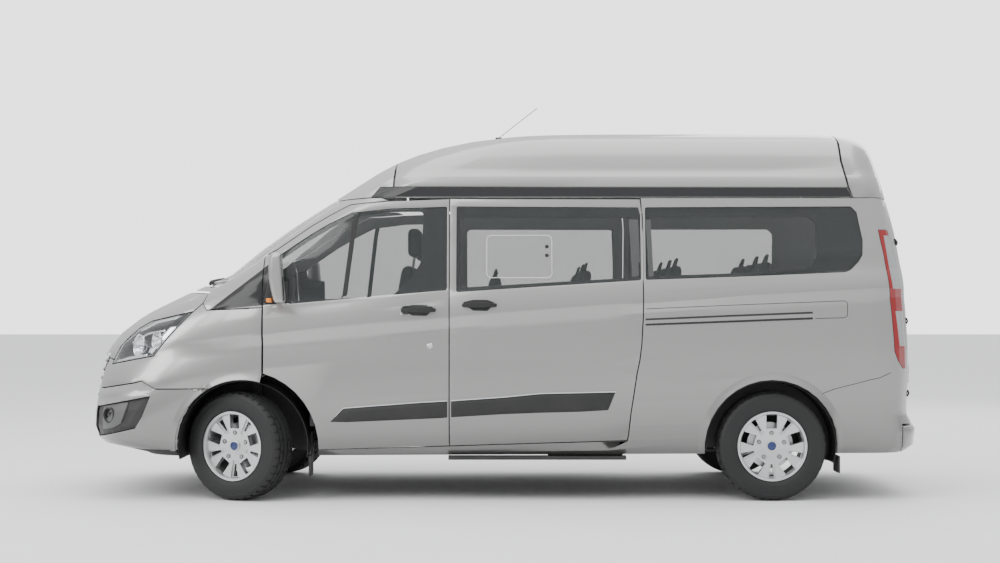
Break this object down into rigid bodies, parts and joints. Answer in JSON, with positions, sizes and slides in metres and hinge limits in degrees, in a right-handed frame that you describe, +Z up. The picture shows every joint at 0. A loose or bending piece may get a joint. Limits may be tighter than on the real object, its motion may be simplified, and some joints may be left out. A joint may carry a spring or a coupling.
{
  "type": "high-roof minibus",
  "caption": "High-roof passenger minibus: hinged front doors, bonnet and twin rear doors, sliding side doors, steered front wheels, seats in rows.",
  "frame": {"origin": "on the ground under the middle of the body's bounding box", "axes": "+X towards the front of the vehicle, +Y towards its left side, +Z up"},
  "size_m": [5.3443, 2.2916, 2.5551],
  "materials": {
    "body_paint": "metallic",
    "window_glass": "clear, faintly tinted",
    "dark_plastic": "grained",
    "gloss_black": "gloss",
    "lamp_clear": "clear",
    "lamp_red": "clear red",
    "tyre": "matte",
    "alloy": "satin",
    "iron": "rough",
    "frame_steel": "satin",
    "floor_covering": "ribbed matting on steel",
    "seat_fabric": "woven",
    "flap_rubber": "matte"
  },
  "bodies": {
    "body": {"floor_pan": "floor_covering", "body_frame": "frame_steel", "front_frame": "body_paint", "windscreen": "window_glass", "front_wings": "body_paint", "front_bumper": "body_paint", "front_grille": "dark_plastic", "headlights": "lamp_clear", "side_panels": "body_paint", "sliding_doors": "body_paint", "side_glass": "window_glass", "roof": "body_paint", "roof_side_trims": "gloss_black", "rear_bumper": "body_paint", "tail_lights": "lamp_red", "side_steps": "dark_plastic", "mud_flaps": "flap_rubber", "antenna": "dark_plastic", "dashboard": "dark_plastic", "front_seats": "seat_fabric", "passenger_seats": "seat_fabric", "engine_block": "iron", "rear_axle": "frame_steel", "fuel_tank": "dark_plastic", "exhaust": "frame_steel"},
    "bonnet_lid": {"bonnet": "body_paint"},
    "door_front_left": {"front_door_left": "body_paint", "front_door_glass_left": "window_glass"},
    "door_front_right": {"front_door_right": "body_paint", "front_door_glass_right": "window_glass"},
    "door_rear_left": {"rear_door_left": "body_paint", "rear_glass_left": "window_glass"},
    "door_rear_right": {"rear_door_right": "body_paint", "rear_glass_right": "window_glass"},
    "steered_left": {"knuckle_left": "iron"},
    "steered_right": {"knuckle_right": "iron"},
    "wheel_front_left": {"front_wheel_left": "alloy", "front_tyre_left": "tyre"},
    "wheel_front_right": {"front_wheel_right": "alloy", "front_tyre_right": "tyre"},
    "wheel_rear_left": {"rear_wheel_left": "alloy", "rear_tyre_left": "tyre"},
    "wheel_rear_right": {"rear_wheel_right": "alloy", "rear_tyre_right": "tyre"},
    "steering_wheel_body": {"steering_wheel": "dark_plastic"}
  },
  "joints": [
    {"name": "steer_left", "type": "hinge", "parent": "body", "child": "steered_left", "pos_m": [1.622, 0.81, 0.34], "axis": [0, 0, 1], "range_deg": [-10, 62]},
    {"name": "steer_right", "type": "hinge", "parent": "body", "child": "steered_right", "pos_m": [1.622, -0.81, 0.34], "axis": [0, 0, 1], "range_deg": [-10, 62]},
    {"name": "spin_front_left", "type": "hinge", "parent": "steered_left", "child": "wheel_front_left", "pos_m": [1.6483, 0.86393, 0.34], "axis": [0.4384, 0.8988, 0], "continuous": true},
    {"name": "spin_front_right", "type": "hinge", "parent": "steered_right", "child": "wheel_front_right", "pos_m": [1.5957, -0.86393, 0.34], "axis": [0.4384, 0.8988, 0], "continuous": true},
    {"name": "spin_rear_left", "type": "hinge", "parent": "body", "child": "wheel_rear_left", "pos_m": [-1.678, 0.87, 0.34], "axis": [0, 1, 0], "continuous": true},
    {"name": "spin_rear_right", "type": "hinge", "parent": "body", "child": "wheel_rear_right", "pos_m": [-1.678, -0.87, 0.34], "axis": [0, 1, 0], "continuous": true},
    {"name": "front_left_door_hinge", "type": "hinge", "parent": "body", "child": "door_front_left", "pos_m": [1.5, 1, 0.9], "axis": [0, 0, -1], "range_deg": [0, 70]},
    {"name": "front_right_door_hinge", "type": "hinge", "parent": "body", "child": "door_front_right", "pos_m": [1.5, -1, 0.9], "axis": [0, 0, 1], "range_deg": [0, 70]},
    {"name": "rear_left_door_hinge", "type": "hinge", "parent": "body", "child": "door_rear_left", "pos_m": [-2.55, 0.866, 1.1], "axis": [-0.0916, 0, -0.9958], "range_deg": [0, 170]},
    {"name": "rear_right_door_hinge", "type": "hinge", "parent": "body", "child": "door_rear_right", "pos_m": [-2.55, -0.866, 1.1], "axis": [0.0916, 0, 0.9958], "range_deg": [0, 170]},
    {"name": "bonnet_hinge", "type": "hinge", "parent": "body", "child": "bonnet_lid", "pos_m": [1.85, 0, 1.32], "axis": [0, -1, 0], "range_deg": [0, 50]},
    {"name": "steering_wheel_turn", "type": "hinge", "parent": "body", "child": "steering_wheel_body", "pos_m": [1.24, 0.43, 1.13], "axis": [-0.4695, 0, 0.8829], "range_deg": [-150, 930]}
  ],
  "couplings": [
    {"joint": "steer_right", "follows": "steer_left", "ratio": 1},
    {"joint": "steering_wheel_turn", "follows": "steer_left", "ratio": 15}
  ]
}
